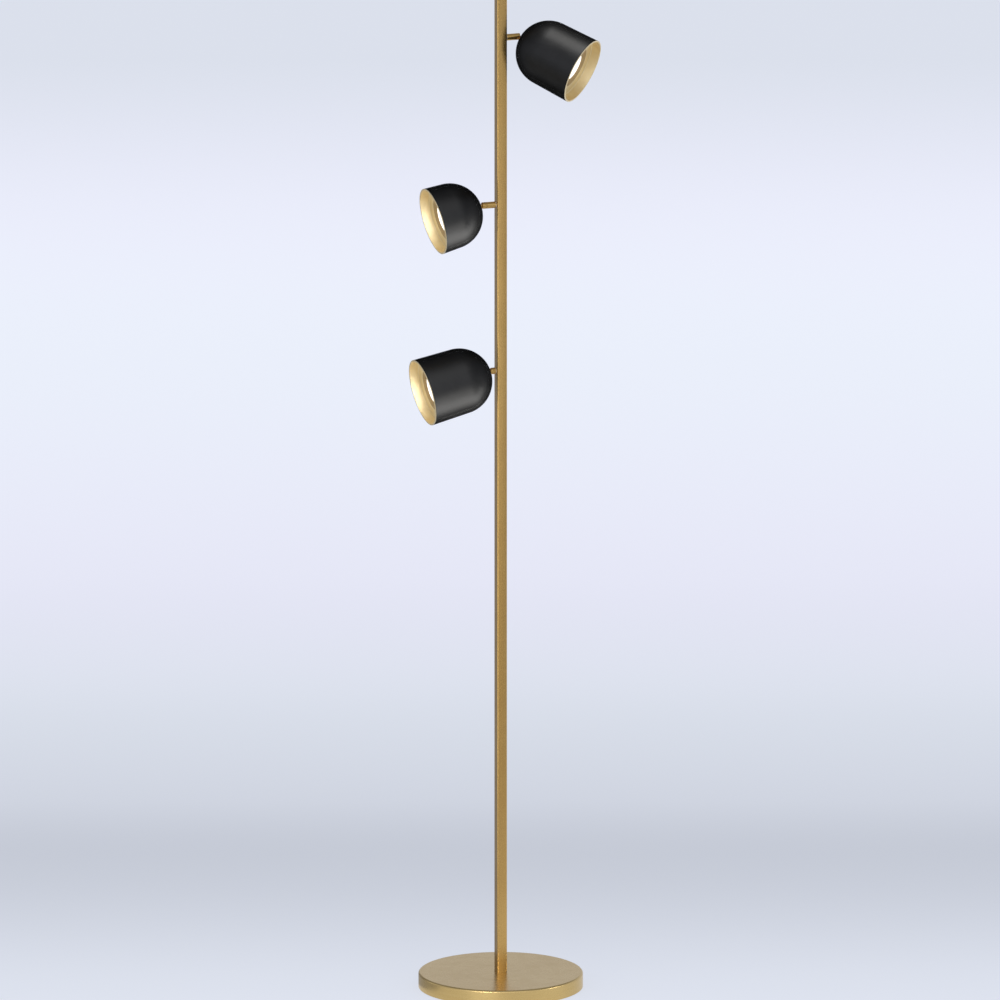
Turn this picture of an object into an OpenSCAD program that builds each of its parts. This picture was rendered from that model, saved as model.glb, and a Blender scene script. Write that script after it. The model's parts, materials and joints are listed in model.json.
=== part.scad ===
// Floor lamp: a square pole on a weighted disc, with three dome spot heads.
// Each head turns on a stem in the pole wall and tilts in the fork of that stem.
// Millimetres, +Z up, origin at the centre of the face that stands on the floor.

/* [Base] */
// Diameter of the round base
base_d = 250; // [200:1:320]
// Height of the base above the floor
base_h = 25; // [24:0.5:40]
// Wall of the spun brass cover
cover_wall = 1.5; // [1:0.1:2.5]
// Radius of the cover's top edge
cover_edge_r = 3; // [2.6:0.1:5]
// Thickness of the soft pad underneath
pad_t = 2; // [1:0.1:3]
// Thickness of the steel bottom plate
plate_t = 1.5; // [1:0.1:2.5]
// Diameter of the circle that the bottom screws stand on
base_screw_pcd = 190; // [170:1:196]

/* [Pole] */
// Height of the whole lamp
lamp_h = 1600; // [1550:1:1800]
// Width of the square tube over its flats
pole_side = 16; // [14.5:0.1:20]
// Wall of the square tube
pole_wall = 1.5; // [1:0.1:1.7]
// Radius of the tube's corners
pole_corner_r = 2; // [1.6:0.1:2.2]
// Depth that the tube is let into the weight
pole_seat = 3; // [2:0.1:5]
// Thickness of the cap on the top
cap_t = 3; // [2:0.1:6]
// Length of the spigot under the cap
cap_spigot = 12; // [6:1:30]

/* [Stems] */
// Height of the upper stem above the floor
upper_stem_z = 1477; // [1440:1:1490]
// Distance from one stem down to the next
stem_pitch = 257.5; // [245:0.5:300]
// Diameter of the stems
stem_d = 10; // [9:0.1:10.6]
// Pole face to pivot on the upper and middle stems
long_reach = 17; // [15:0.1:30]
// Pole face to pivot on the lower stem
short_reach = 4.3; // [4.3:0.1:12]
// Diameter of the threaded tail in the pole wall
tail_d = 7; // [6:0.1:7.2]
// Length of the tail behind the pole face
tail_len = 7.6; // [6:0.1:8]
// Diameter of the wire hole through the stem
stem_bore = 4; // [3:0.1:4.4]
// Diameter of the insert's flange on the pole face
insert_flange_d = 11; // [10.4:0.1:11]
// Thickness of the insert's flange
insert_flange_t = 0.5; // [0.4:0.1:0.6]
// Wall of the insert's barrel
insert_wall = 1.2; // [0.9:0.1:1.3]
// Thickness of the nylon friction washer
washer_t = 0.5; // [0.4:0.1:0.6]

/* [Pivots] */
// Diameter of the pivot screw's shank
pivot_d = 3; // [2.5:0.1:3.2]
// Diameter of the pivot screw's head
pivot_head_d = 5; // [4.4:0.1:5.4]
// Thickness of the pivot screw's head
pivot_head_t = 1.4; // [1:0.1:1.5]
// Thickness of the neck's tongue in the fork
tongue_t = 3; // [2.4:0.1:3.2]
// Half the width of the tongue, and the radius of its end
tongue_r = 2.6; // [2.3:0.1:2.6]
// Smallest radius of the fork's corners
fork_corner_r = 1.4; // [1:0.1:3]
// Diameter of the neck's collar against the dome
neck_d = 8; // [5.6:0.1:8]
// Pivot to dome on the upper and middle heads
long_neck = 8; // [8:0.1:20]
// Pivot to dome on the lower head
short_neck = 5.6; // [5.6:0.1:12]
// Diameter of the neck's threaded end inside the dome
neck_thread_d = 5; // [4.4:0.1:5.4]
// Diameter of the wire hole in the neck
neck_bore = 2.4; // [2.2:0.1:2.8]

/* [Heads] */
// Diameter of the domes
head_d = 100; // [94:1:100]
// Diameter of the slightly flared rim
rim_d = 103; // [103:1:110]
// Length of the upper and lower heads, dome to rim
long_head = 111; // [95:1:130]
// Length of the middle head, dome to rim
short_head = 78; // [78:1:110]
// Wall of the black shades
shade_wall = 1.2; // [0.8:0.1:1.6]
// How far the upper head is tilted from straight out
upper_tilt = 48.5; // [0:0.5:50]
// How far the upper head is swivelled from straight down
upper_swivel = -60.5; // [-170:0.5:170]
// How far the middle and lower heads are tilted from straight out
lower_tilt = 12.5; // [0:0.5:33]

/* [Light module] */
// Depth of the gold floor behind the rim
recess = 15; // [10:0.5:18]
// Wall of the gold liner
liner_t = 1; // [0.8:0.1:1.4]
// Diameter of the hole in the gold floor
floor_hole_d = 67; // [60:1:70]
// Diameter of the lens that shows in the trim ring
throat_d = 40; // [30:1:44]
// Fall of the trim ring from the gold floor to the lens
ring_fall = 1; // [0.5:0.1:2]
// Thickness of the lens
lens_t = 2; // [1.5:0.1:3]
// Gap between the lens and the light source
mixing_gap = 8; // [4:0.5:9]
// Diameter of the board that carries the light source
board_d = 38; // [28:1:44]
// Diameter of the heat sink
sink_d = 74; // [60:1:76]
// Thickness of the heat sink's plate
sink_plate_t = 4; // [3:0.5:6]
// Length of the heat sink's fins
fin_len = 14; // [8:0.5:15]
// Number of fins
fin_count = 16; // [8:1:24]

/* [Electrics] */
// Length of the driver's case
driver_l = 100; // [80:1:120]
// Width of the driver's case
driver_w = 40; // [30:1:44]
// Height of the driver's case
driver_h = 16; // [12:0.5:16]
// Diameter of the cord hole in the grommet
cord_hole_d = 6.5; // [5:0.1:8]
// Diameter of one head's wire
wire_d = 2; // [1.4:0.1:2]

/* [Fits] */
// Running clearance on a radius, at the turning joints
running_fit = 0.05; // [0.02:0.01:0.1]
// Clearance on a radius or a side, between fixed pieces
fixed_fit = 0.1; // [0.05:0.01:0.15]
// Clearance on each side of the tongue and round its end
slot_fit = 0.2; // [0.15:0.01:0.3]

/* [Hidden] */
$fn = 96;
tiny = 0.01;
cut = 1;

// How far the round at a wire's bend stands proud of the wire, over its diameter
bend_swell = 0.04;

// Levels in the base
plate_z = pad_t;
weight_z = pad_t + plate_t;
weight_top = base_h - cover_wall;
weight_r = base_d/2 - cover_wall - fixed_fit;
pole_z = weight_top - pole_seat;
bore_gap = pole_side - 2*pole_wall;

cap_chamfer = 0.8;

// Clamp that holds the pole on the weight
nipple_d = 8;
nipple_bore = 5;
clamp_nut_af = 13;
clamp_nut_t = 5;
clamp_washer_d = 24;
clamp_washer_t = 2;
sleeve_fit = 0.15;
sleeve_d = nipple_bore - 2*sleeve_fit;
clamp_room = sleeve_d + 4*sleeve_fit;
clamp_z = weight_z + clamp_room;
clamp_seat_z = clamp_z + clamp_nut_t + clamp_washer_t;
clamp_pocket_gap = 2;
clamp_pocket_d = clamp_washer_d + 2*clamp_pocket_gap;
plug_side = bore_gap - 2*fixed_fit;
plug_corner_r = 1;
plug_len = 40;
nipple_end_gap = 2;
nipple_top = pole_z + plug_len - nipple_end_gap;

// Driver, terminal block and grommet, from the centre to the back
pocket_gap = 1;
pocket_wall = 8;
pocket_roof = 3.5;
driver_y = clamp_pocket_d/2 + pocket_wall + driver_w/2;
driver_top = weight_top - pocket_roof;
driver_ear = 8;
driver_ear_t = 3;
driver_screw_x = driver_l/2 + driver_ear/2;
driver_screw_d = 3;
driver_screw_head = 5.5;
driver_screw_bite = 2.5;
driver_screw_head_t = 2;
hex_key = 2.5;
socket_depth = 1.2;
terminal = [30, 14, 12];
terminal_ways = 3;
terminal_screw_d = 4;
terminal_wire_d = 3.4;
terminal_y = driver_y + driver_w/2 + pocket_wall + terminal.y/2;
terminal_top = driver_top;
channel_w = 9;
channel_h = 8;
grommet_z = base_h/2;
grommet_wall = 2;
grommet_lip = 1.5;
grommet_chamfer = 0.5;
grommet_neck_d = cord_hole_d + 2*grommet_wall;
grommet_flange_d = grommet_neck_d + 2*grommet_lip;
grommet_flange_t = 1.5;
grommet_room = 3;
grommet_slack = 0.2;
base_screw_d = 4;
base_screw_head_d = 8;
base_screw_len = 12;
base_screws_n = 6;
plate_land = 0.3;
countersink_t = min(plate_t - plate_land, (base_screw_head_d - base_screw_d)/2);
pad_inset = 4;
pad_hole_gap = 1;

// Stem, fork and neck
stack_t = insert_flange_t + washer_t;
insert_d = tail_d + 2*running_fit + 2*insert_wall;
insert_collar_t = 2.5;
insert_collar_step = 0.6;
insert_collar_d = min(insert_d + 2*insert_collar_step, bore_gap - 2*fixed_fit);
tail_out = 1;
insert_len = tail_len - tail_out;
slot_w = tongue_t + 2*slot_fit;
slot_back = tongue_r + slot_fit;
fork_r = stem_d/2;
neck_collar_t = 0.4;
neck_exit = 0.8;
neck_wire_gap = 0.4;
pivot_head_y = sqrt(pow(stem_d/2, 2) - pow(pivot_head_d/2, 2));
pivot_tip_y = sqrt(pow(stem_d/2, 2) - pow(pivot_d/2, 2));
pivot_slot = [0.8, 0.6];
neck_washer_t = 1;
neck_washer_r = 7;
neck_nut_af = 8;
neck_nut_t = 3;
neck_thread_out = 1.5;
neck_thread_len = shade_wall + neck_washer_t + neck_nut_t + neck_thread_out;

// Head
head_r = head_d/2;
rim_r = rim_d/2;
lip_t = liner_t;
boss_d = 6;
boss_pcr = 42;
boss_len = 6;
boss_floor = 1;
ear_t = 3;
ear_wall = 0.5;
module_screw_d = 3;
module_screw_gap = 0.5;
module_screw_head = 5;
module_screw_head_t = 2;
bezel_t = 1.2;
bezel_flange = 3.5;
lens_ledge = 2;
lens_ledge_t = 0.6;
chip_d = 14;
chip_t = 0.8;
board_t = 1.6;
floor_back = recess + liner_t;
lens_z = recess + ring_fall + lens_ledge_t;
board_z = lens_z + lens_t + mixing_gap;
sink_z = board_z + board_t;
sink_wall = 2.4;
sink_bore = 6;
sink_hub_t = 3;
fin_t = 1.6;

// One row for each head: name, height, side, reach, neck, length, swivel, tilt
HEADS = [
    ["upper", upper_stem_z, 1, long_reach, long_neck, long_head, upper_swivel, upper_tilt],
    ["middle", upper_stem_z - stem_pitch, -1, long_reach, long_neck, short_head, 0, lower_tilt],
    ["lower", upper_stem_z - 2*stem_pitch, -1, short_reach, short_neck, long_head, 0, lower_tilt]
];
function head_name(h) = h[0];
function stem_z(h) = h[1];
function side(h) = h[2];
function reach(h) = h[3];
function neck_len(h) = h[4];
function head_len(h) = h[5];
function swivel(h) = h[6];
function tilt(h) = h[7];

// Distance from the pivot to the corner of a fork whose corners have this radius
function corner_reach(r) = r + (fork_r - r)*sqrt(2);
// Distance from the pivot to the neck's collar, which passes over the fork's corners
function shoulder(h) = max(fork_r + slot_fit,
    min(corner_reach(fork_corner_r) + slot_fit, neck_len(h) - neck_collar_t));
// Radius of the fork's corners, which stay inside the collar's sweep
function fork_corner(h) = min(fork_r,
    (fork_r*sqrt(2) - shoulder(h) + slot_fit)/(sqrt(2) - 1));

// Half angle of the flared wall, which leaves the dome at a tangent
function flare(h) = let (wall_len = head_len(h) - head_r)
    acos(head_r/norm([rim_r, wall_len])) - atan2(wall_len, rim_r);
// Outer radius of the flared wall at a depth behind the rim
function wall_r(h, depth) = rim_r - depth*tan(flare(h));
// Radius of the shade's inside at a depth behind the rim
function inside_r(h, depth) = wall_r(h, depth) - shade_wall/cos(flare(h));

HEAD_PARTS = ["shade", "reflector", "bezel", "lens", "led_board", "heat_sink",
    "module_screws", "neck", "neck_nut", "head_wire", "stem", "swivel_washer",
    "pivot_screw"];

// Places

// Origin on the pole face, +Z out of the pole, +X down
module on_face(h) {
    translate([side(h)*pole_side/2, 0, stem_z(h)])
        rotate([0, 0, side(h) > 0 ? 0 : 180])
            rotate([0, 90, 0]) children();
}

// The same place, turned with the stem: +Y runs along the pivot
module on_stem(h) {
    on_face(h) rotate([0, 0, swivel(h)]) children();
}

// Origin on the pivot, +Z towards the rim
module on_pivot(h) {
    on_stem(h) translate([0, 0, reach(h)]) rotate([0, tilt(h), 0]) children();
}

// Origin on the top of the dome, +Z towards the rim
module on_dome(h) {
    on_pivot(h) translate([0, 0, neck_len(h)]) children();
}

// Origin at the centre of the rim, +Z into the head
module on_rim(h) {
    on_dome(h) translate([0, 0, head_len(h)]) rotate([180, 0, 0]) children();
}

// Shapes used more than once

module rounded_square(width, r) {
    square([width, width - 2*r], center = true);
    square([width - 2*r, width], center = true);
    for (x = [-1, 1], y = [-1, 1])
        translate([x*(width/2 - r), y*(width/2 - r)]) circle(r);
}

module ring(outer_d, inner_d, height) {
    difference() {
        cylinder(d = outer_d, h = height);
        translate([0, 0, -cut]) cylinder(d = inner_d, h = height + 2*cut);
    }
}

module hexagon(across_flats, height) {
    cylinder(d = across_flats/cos(30), h = height, $fn = 6);
}

// A round wire through a list of points
module wire_run(points, d) {
    for (i = [1:len(points) - 1]) {
        step = points[i] - points[i - 1];
        translate(points[i - 1])
            rotate([0, acos(step.z/norm(step)), atan2(step.y, step.x)])
                cylinder(d = d, h = norm(step), $fn = 24);
    }
    for (i = [1:len(points) - 2])
        translate(points[i]) sphere(d = d + bend_swell, $fn = 24);
}

// Base

module base_cover() {
    r = base_d/2;
    inner_r = r - cover_wall;
    inner_edge = cover_edge_r - cover_wall;
    color([0.76, 0.65, 0.46]) difference() {
        rotate_extrude() difference() {
            union() {
                translate([0, plate_z]) square([r, base_h - plate_z - cover_edge_r]);
                translate([0, base_h - cover_edge_r])
                    square([r - cover_edge_r, cover_edge_r]);
                intersection() {
                    translate([r - cover_edge_r, base_h - cover_edge_r])
                        circle(cover_edge_r);
                    translate([0, base_h - cover_edge_r]) square([r, cover_edge_r]);
                }
            }
            translate([0, plate_z - cut])
                square([inner_r, weight_top - plate_z + cut - inner_edge]);
            translate([0, weight_top - inner_edge - tiny])
                square([inner_r - inner_edge, inner_edge + tiny]);
            intersection() {
                translate([inner_r - inner_edge, weight_top - inner_edge])
                    circle(inner_edge);
                translate([0, weight_top - inner_edge - tiny])
                    square([inner_r, inner_edge + tiny]);
            }
        }
        translate([0, 0, weight_top - cut]) linear_extrude(cover_wall + 2*cut)
            rounded_square(pole_side + 2*fixed_fit, pole_corner_r + fixed_fit);
        translate([0, inner_r - cut, grommet_z]) rotate([-90, 0, 0])
            cylinder(d = grommet_neck_d + 2*fixed_fit, h = cover_wall + 2*cut);
    }
}

module base_weight() {
    driver_pocket = [driver_l + 2*driver_ear + 2*pocket_gap, driver_w + 2*pocket_gap];
    terminal_pocket = [terminal.x + 2*pocket_gap, terminal.y + 2*pocket_gap];
    edge = cover_edge_r - cover_wall + fixed_fit;
    color([0.25, 0.25, 0.26]) difference() {
        translate([0, 0, weight_z]) union() {
            cylinder(r = weight_r, h = weight_top - weight_z - edge);
            translate([0, 0, weight_top - weight_z - edge])
                cylinder(r1 = weight_r, r2 = weight_r - edge, h = edge);
        }
        // Foot of the pole and its clamp
        translate([0, 0, pole_z]) linear_extrude(pole_seat + cut)
            rounded_square(pole_side + 2*fixed_fit, pole_corner_r + fixed_fit);
        translate([0, 0, clamp_seat_z - cut])
            cylinder(d = nipple_d + 2*fixed_fit, h = weight_top - clamp_seat_z);
        translate([0, 0, weight_z - cut])
            cylinder(d = clamp_pocket_d, h = clamp_seat_z - weight_z + cut);
        // Pockets for the electrics
        translate([-driver_pocket.x/2, driver_y - driver_pocket.y/2, weight_z - cut])
            cube([driver_pocket.x, driver_pocket.y, driver_top - weight_z + cut]);
        translate([-terminal_pocket.x/2, terminal_y - terminal_pocket.y/2,
                   weight_z - cut])
            cube([terminal_pocket.x, terminal_pocket.y, terminal_top - weight_z + cut]);
        // Channel for the wires, from the clamp to the terminal block
        translate([-channel_w/2, 0, weight_z - cut])
            cube([channel_w, terminal_y, channel_h + cut]);
        // Way in for the cord
        translate([0, terminal_y, grommet_z]) rotate([-90, 0, 0])
            cylinder(d = grommet_neck_d, h = base_d);
        translate([0, weight_r - grommet_room, grommet_z]) rotate([-90, 0, 0])
            cylinder(d = grommet_flange_d + 2*fixed_fit, h = base_d);
        // Threaded holes
        at_base_screws() translate([0, 0, weight_z - cut])
            cylinder(d = base_screw_d + 2*fixed_fit, h = base_screw_len + cut);
        at_driver_screws() translate([0, 0, driver_top - cut])
            cylinder(d = driver_screw_d + 2*fixed_fit, h = driver_screw_bite + fixed_fit + cut);
    }
}

module at_base_screws() {
    for (i = [0:base_screws_n - 1])
        rotate([0, 0, (i + 0.5)*360/base_screws_n])
            translate([0, -base_screw_pcd/2, 0]) children();
}

module at_driver_screws() {
    for (x = [-1, 1]) translate([x*driver_screw_x, driver_y, 0]) children();
}

module base_plate() {
    color([0.55, 0.55, 0.57]) difference() {
        translate([0, 0, plate_z]) cylinder(r = weight_r - fixed_fit, h = plate_t);
        at_base_screws() translate([0, 0, plate_z - cut])
            cylinder(d = base_screw_d + 2*fixed_fit, h = plate_t + 2*cut);
        at_base_screws() translate([0, 0, plate_z - tiny])
            cylinder(d1 = base_screw_head_d + 2*fixed_fit,
                     d2 = base_screw_head_d + 2*fixed_fit - 2*countersink_t,
                     h = countersink_t);
    }
}

module base_pad() {
    color([0.15, 0.15, 0.16]) difference() {
        cylinder(r = weight_r - pad_inset, h = pad_t);
        at_base_screws() translate([0, 0, -cut])
            cylinder(d = base_screw_head_d + 2*pad_hole_gap, h = pad_t + 2*cut);
    }
}

module base_screws() {
    color([0.6, 0.6, 0.62]) at_base_screws() translate([0, 0, plate_z]) {
        difference() {
            union() {
                cylinder(d1 = base_screw_head_d, d2 = base_screw_head_d - 2*countersink_t,
                         h = countersink_t);
                cylinder(d = base_screw_d, h = base_screw_len);
            }
            translate([0, 0, -cut]) hexagon(hex_key, cut + countersink_t);
        }
    }
}

module cable_grommet() {
    face_y = sqrt(pow(base_d/2, 2) - pow(grommet_flange_d/2, 2));
    inner_y = weight_r - grommet_room + fixed_fit;
    color([0.08, 0.08, 0.08]) translate([0, 0, grommet_z]) rotate([-90, 0, 0])
        difference() {
            union() {
                translate([0, 0, inner_y])
                    cylinder(d = grommet_flange_d,
                             h = face_y - cover_wall - grommet_slack - fixed_fit - inner_y);
                translate([0, 0, inner_y])
                    cylinder(d = grommet_neck_d, h = base_d/2 + grommet_flange_t - inner_y);
                translate([0, 0, base_d/2 + fixed_fit])
                    cylinder(d1 = grommet_flange_d,
                             d2 = grommet_flange_d - 2*grommet_chamfer,
                             h = grommet_flange_t - fixed_fit);
            }
            translate([0, 0, inner_y - cut])
                cylinder(d = cord_hole_d, h = base_d);
        }
}

// Electrics in the base

module terminal_block() {
    pitch = terminal.x/terminal_ways;
    color([0.88, 0.88, 0.84])
        translate([0, terminal_y, terminal_top - terminal.z]) difference() {
            translate([-terminal.x/2, -terminal.y/2, 0]) cube(terminal);
            for (i = [0:terminal_ways - 1])
                translate([(i + 0.5)*pitch - terminal.x/2, 0, 0]) {
                    translate([0, 0, -cut])
                        cylinder(d = terminal_screw_d, h = terminal.z/2 + cut);
                    translate([0, 0, terminal.z/2]) rotate([90, 0, 0])
                        cylinder(d = terminal_wire_d, h = terminal.y + 2*cut, center = true);
                }
        }
}

module led_driver() {
    color([0.92, 0.92, 0.9]) difference() {
        union() {
            translate([-driver_l/2, driver_y - driver_w/2, driver_top - driver_h])
                cube([driver_l, driver_w, driver_h]);
            translate([-driver_l/2 - driver_ear, driver_y - driver_w/4,
                       driver_top - driver_ear_t])
                cube([driver_l + 2*driver_ear, driver_w/2, driver_ear_t]);
        }
        at_driver_screws() translate([0, 0, driver_top - driver_ear_t - cut])
            cylinder(d = driver_screw_d + 2*fixed_fit, h = driver_ear_t + 2*cut);
    }
}

module driver_screws() {
    color([0.6, 0.6, 0.62]) at_driver_screws()
        translate([0, 0, driver_top - driver_ear_t]) {
            cylinder(d = driver_screw_d, h = driver_ear_t + driver_screw_bite);
            translate([0, 0, -driver_screw_head_t]) difference() {
                cylinder(d = driver_screw_head, h = driver_screw_head_t);
                translate([0, 0, -cut]) hexagon(hex_key, cut + socket_depth);
            }
        }
}

// Pole

module pole() {
    color([0.73, 0.62, 0.42]) difference() {
        translate([0, 0, pole_z]) linear_extrude(lamp_h - cap_t - pole_z) difference() {
            rounded_square(pole_side, pole_corner_r);
            rounded_square(bore_gap, pole_corner_r - pole_wall);
        }
        for (h = HEADS) on_face(h) translate([0, 0, -pole_wall - cut])
            cylinder(d = insert_d + 2*fixed_fit, h = pole_wall + 2*cut);
    }
}

module pole_plug() {
    color([0.6, 0.6, 0.62]) translate([0, 0, pole_z]) difference() {
        linear_extrude(plug_len) rounded_square(plug_side, plug_corner_r);
        translate([0, 0, -cut])
            cylinder(d = nipple_d + 2*fixed_fit, h = plug_len + 2*cut);
    }
}

module pole_nipple() {
    color([0.75, 0.72, 0.6]) translate([0, 0, clamp_z])
        ring(nipple_d, nipple_bore, nipple_top - clamp_z);
}

module pole_clamp() {
    color([0.6, 0.6, 0.62]) {
        translate([0, 0, clamp_z + clamp_nut_t])
            ring(clamp_washer_d, nipple_d + 2*fixed_fit, clamp_washer_t);
        translate([0, 0, clamp_z]) difference() {
            hexagon(clamp_nut_af, clamp_nut_t);
            translate([0, 0, -cut])
                cylinder(d = nipple_d + 2*fixed_fit, h = clamp_nut_t + 2*cut);
        }
    }
}

// Plate with a chamfer round its top, and a spigot in the tube
module pole_cap() {
    half = pole_side/2;
    color([0.73, 0.62, 0.42]) {
        translate([0, 0, lamp_h - cap_t]) intersection() {
            linear_extrude(cap_t) rounded_square(pole_side, pole_corner_r);
            for_both_ways() rotate([90, 0, 0])
                linear_extrude(pole_side + cut, center = true)
                    polygon([[-half, 0], [half, 0], [half, cap_t - cap_chamfer],
                             [half - cap_chamfer, cap_t], [cap_chamfer - half, cap_t],
                             [-half, cap_t - cap_chamfer]]);
        }
        translate([0, 0, lamp_h - cap_t - cap_spigot]) linear_extrude(cap_spigot)
            rounded_square(bore_gap - 2*fixed_fit, plug_corner_r);
    }
}

// What a shape has in common with its copy a quarter turn on
module for_both_ways() {
    intersection() {
        children();
        rotate([0, 0, 90]) children();
    }
}

// Flanged inserts that are pulled up behind the pole wall
module swivel_inserts() {
    color([0.7, 0.62, 0.45]) for (h = HEADS) on_face(h) difference() {
        union() {
            cylinder(d = insert_flange_d, h = insert_flange_t);
            translate([0, 0, -insert_len]) cylinder(d = insert_d, h = insert_len);
            translate([0, 0, -pole_wall - fixed_fit - insert_collar_t])
                cylinder(d = insert_collar_d, h = insert_collar_t);
        }
        translate([0, 0, -insert_len - cut])
            cylinder(d = tail_d + 2*running_fit, h = insert_len + insert_flange_t + 2*cut);
    }
}

// A sleeved bundle from the driver up through the nipple, then one wire for each stem
module pole_wires() {
    wire_gap = 0.4;
    spread = wire_d + wire_gap;
    bundle_r = (sleeve_d - wire_d)/2;
    side_x = bore_gap/2 - wire_d;
    feed_z = weight_z + sleeve_d/2 + 2*fixed_fit;
    sleeve_out = 5;
    split_z = nipple_top + sleeve_out;
    leaves_at = [-60, 180, 60];
    tail_bite = 2;
    fan_len = 20;
    cross_from = 60;
    cross_to = 20;
    bend_r = 1.5;
    color([0.85, 0.85, 0.83]) {
        wire_run([[0, driver_y - driver_w/2 - fixed_fit, feed_z],
                  [0, 0, feed_z], [0, 0, split_z]], sleeve_d);
        for (i = [0:len(HEADS) - 1]) {
            h = HEADS[i];
            off = (i - 1)*spread;
            a = leaves_at[i];
            far_x = -side(h)*side_x;
            wire_run(concat(
                [[bundle_r*cos(a), bundle_r*sin(a), split_z],
                 [side_x, off, split_z + fan_len]],
                side(h) > 0
                    ? [[side_x, off, stem_z(h) - cross_from],
                       [far_x, off, stem_z(h) - cross_to]] : [],
                [[far_x, off, stem_z(h) - 3*bend_r],
                 [far_x + side(h)*bend_r, off/2, stem_z(h) - bend_r],
                 [side(h)*(pole_side/2 - tail_len + tail_bite), 0, stem_z(h)]]), wire_d);
        }
    }
}

// Stems

// Side view that a stem is trimmed to, which rounds the corners of its end
module stem_outline(h) {
    r = fork_corner(h);
    flat = fork_r - r;
    end_z = reach(h) + fork_r;
    translate([-stem_d, stack_t - cut]) square([2*stem_d, end_z - r - stack_t + cut]);
    if (flat > tiny) translate([-flat, end_z - r - tiny]) square([2*flat, r + tiny]);
    for (x = flat > tiny ? [-flat, flat] : [0]) translate([x, end_z - r]) circle(r);
}

// Round bar with a threaded tail and a forked end
module stem(h) {
    color([0.73, 0.62, 0.42]) difference() {
        union() {
            translate([0, 0, -tail_len]) cylinder(d = tail_d, h = tail_len + stack_t);
            intersection() {
                translate([0, 0, stack_t])
                    cylinder(d = stem_d, h = reach(h) + fork_r - stack_t);
                rotate([90, 0, 0]) linear_extrude(2*stem_d, center = true)
                    stem_outline(h);
            }
        }
        translate([-stem_d, -slot_w/2, reach(h) - slot_back])
            cube([2*stem_d, slot_w, slot_back + stem_d]);
        translate([0, 0, -tail_len - cut])
            cylinder(d = stem_bore, h = tail_len + reach(h) - slot_back + 2*cut);
        translate([0, 0, reach(h)]) rotate([90, 0, 0])
            cylinder(d = pivot_d + 2*running_fit, h = 2*stem_d, center = true);
        translate([0, pivot_head_y - pivot_head_t, reach(h)]) rotate([-90, 0, 0])
            cylinder(d = pivot_head_d + 2*fixed_fit, h = stem_d);
    }
}

module swivel_washer(h) {
    color([0.92, 0.92, 0.9]) translate([0, 0, insert_flange_t])
        ring(stem_d, tail_d + 2*fixed_fit, washer_t);
}

// Shouldered screw that the tongue turns on, its head let into the fork
module pivot_screw(h) {
    color([0.62, 0.52, 0.34]) translate([0, 0, reach(h)]) rotate([-90, 0, 0])
        difference() {
            union() {
                translate([0, 0, -pivot_tip_y])
                    cylinder(d = pivot_d, h = pivot_tip_y + pivot_head_y - tiny);
                translate([0, 0, pivot_head_y - pivot_head_t])
                    cylinder(d = pivot_head_d, h = pivot_head_t);
            }
            translate([-pivot_head_d, -pivot_slot.x/2, pivot_head_y - pivot_slot.y])
                cube([2*pivot_head_d, pivot_slot.x, cut]);
        }
}

// Heads

// Tongue, collar and threaded end in one turned piece
module neck(h) {
    shoulder_z = shoulder(h);
    exit_z = shoulder_z - neck_exit;
    color([0.73, 0.62, 0.42]) difference() {
        union() {
            rotate([90, 0, 0]) cylinder(r = tongue_r, h = tongue_t, center = true);
            translate([-tongue_r, -tongue_t/2, 0])
                cube([2*tongue_r, tongue_t, shoulder_z + tiny]);
            translate([0, 0, shoulder_z])
                cylinder(d = neck_d, h = neck_len(h) - shoulder_z);
            translate([0, 0, neck_len(h) - tiny])
                cylinder(d = neck_thread_d, h = neck_thread_len + tiny);
        }
        rotate([90, 0, 0])
            cylinder(d = pivot_d + 2*running_fit, h = 2*tongue_t, center = true);
        translate([0, 0, exit_z])
            cylinder(d = neck_bore, h = neck_len(h) + neck_thread_len);
        translate([0, -neck_bore/2, exit_z - neck_bore/2])
            cube([stem_d, neck_bore, neck_bore/2]);
    }
}

// Dished washer and hexagon nut that hold the dome on the neck
module neck_nut(h) {
    bed_r = head_r - shade_wall;
    washer_r = bed_r - neck_washer_t;
    // How far the dished washer has curved inwards at the corners of the nut
    dish = washer_r - sqrt(pow(washer_r, 2) - pow(neck_nut_af/2/cos(30), 2)) + tiny;
    color([0.6, 0.6, 0.62]) {
        translate([0, 0, head_r]) rotate_extrude() intersection() {
            difference() {
                circle(bed_r - tiny);
                circle(washer_r);
            }
            translate([neck_thread_d/2 + fixed_fit, -head_r])
                square([neck_washer_r - neck_thread_d/2 - fixed_fit, head_r/2]);
        }
        translate([0, 0, shade_wall + neck_washer_t + dish]) difference() {
            hexagon(neck_nut_af, neck_nut_t);
            translate([0, 0, -cut])
                cylinder(d = neck_thread_d + 2*fixed_fit, h = neck_nut_t + 2*cut);
        }
    }
}

// Spun shade: half a sphere that runs on into a slightly flared wall
module shade_outline(h, inset) {
    angle = flare(h);
    join_z = head_r - (head_r - inset)*sin(angle);
    edge_z = head_len(h) - lip_t;
    intersection() {
        translate([0, head_r]) circle(head_r - inset);
        square([head_r, join_z]);
    }
    polygon([[0, join_z - tiny],
             [(head_r - inset)*cos(angle), join_z - tiny],
             [wall_r(h, lip_t) - inset/cos(angle), edge_z],
             [0, edge_z]]);
}

module shade(h) {
    color([0.13, 0.13, 0.135]) rotate_extrude() difference() {
        shade_outline(h, 0);
        shade_outline(h, shade_wall);
        translate([0, head_len(h) - lip_t - tiny]) square([rim_r, cut]);
        square([neck_thread_d/2 + fixed_fit, head_r/2]);
    }
}

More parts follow.
